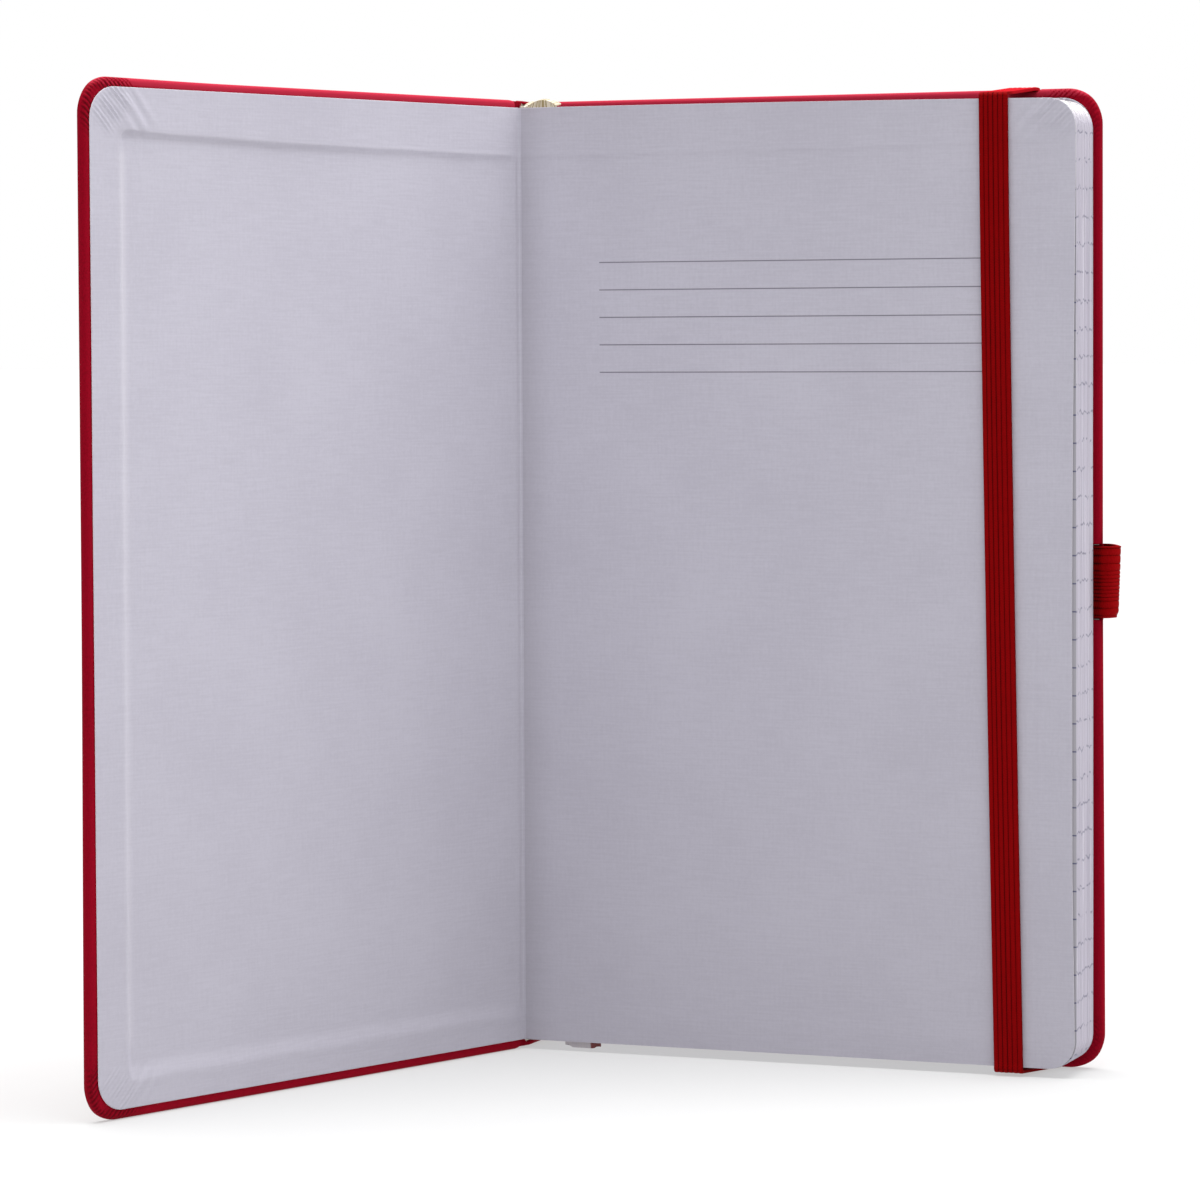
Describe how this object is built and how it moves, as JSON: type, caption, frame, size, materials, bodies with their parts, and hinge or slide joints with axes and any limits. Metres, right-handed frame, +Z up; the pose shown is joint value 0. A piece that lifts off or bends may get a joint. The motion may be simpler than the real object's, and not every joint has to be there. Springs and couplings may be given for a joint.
{
  "type": "hardcover notebook",
  "caption": "Casebound pocket notebook standing open, with red leatherette case, pale endpapers, elastic closure, ribbon marker and elastic pen loop.",
  "frame": {"origin": "on the surface that the notebook stands on, under the middle of its bounding box", "axes": "+Z up along the spine, towards the head; +X from the spine to the fore-edge of the text block; -Y towards the reader, the way the front flyleaf faces; the front cover is swung open towards -Y and -X"},
  "size_m": [0.1788, 0.1454, 0.2114],
  "materials": {
    "leatherette": "fine-grained, satin",
    "grey_board": "matt",
    "endpaper": "matt, faint laid texture",
    "leaf_paper": "matt",
    "gauze": "open cotton weave",
    "cotton": "spun cotton",
    "satin": "satin weave",
    "elastic": "ribbed woven elastic"
  },
  "bodies": {
    "book": {"back_cover_leatherette": "leatherette", "back_board": "grey_board", "back_pastedown": "endpaper", "spine_leatherette": "leatherette", "front_joint_leatherette": "leatherette", "spine_card": "grey_board", "spine_lining": "leaf_paper", "spine_gauze": "gauze", "headband": "cotton", "tailband": "cotton", "sewing_row_1": "cotton", "sewing_row_2": "cotton", "sewing_row_3": "cotton", "sewing_row_4": "cotton", "sewing_row_5": "cotton", "front_flyleaf": "endpaper", "section_1": "leaf_paper", "section_2": "leaf_paper", "section_3": "leaf_paper", "section_4": "leaf_paper", "section_5": "leaf_paper", "section_6": "leaf_paper", "section_7": "leaf_paper", "section_8": "leaf_paper", "section_9": "leaf_paper", "back_flyleaf": "endpaper", "ribbon_marker": "satin", "elastic_head_leg": "elastic", "elastic_tail_leg": "elastic", "elastic_head_anchor": "elastic", "elastic_tail_anchor": "elastic", "pen_loop": "elastic"},
    "front_cover": {"front_cover_leatherette": "leatherette", "front_board": "grey_board", "front_pastedown": "endpaper", "front_hinge_gauze": "gauze"},
    "closure": {"elastic_band": "elastic"}
  },
  "joints": [
    {"name": "front_cover_hinge", "type": "hinge", "parent": "book", "child": "front_cover", "pos_m": [-0.04283, 0.0475, 0.105], "axis": [0, 0, -1], "range_deg": [-109.4, 69.8], "deforming": ["front_joint_leatherette"]},
    {"name": "elastic_slide", "type": "slide", "parent": "book", "child": "closure", "axis": [1, 0, 0], "range_m": [0, 0.027], "deforming": ["elastic_head_leg", "elastic_tail_leg"]}
  ]
}
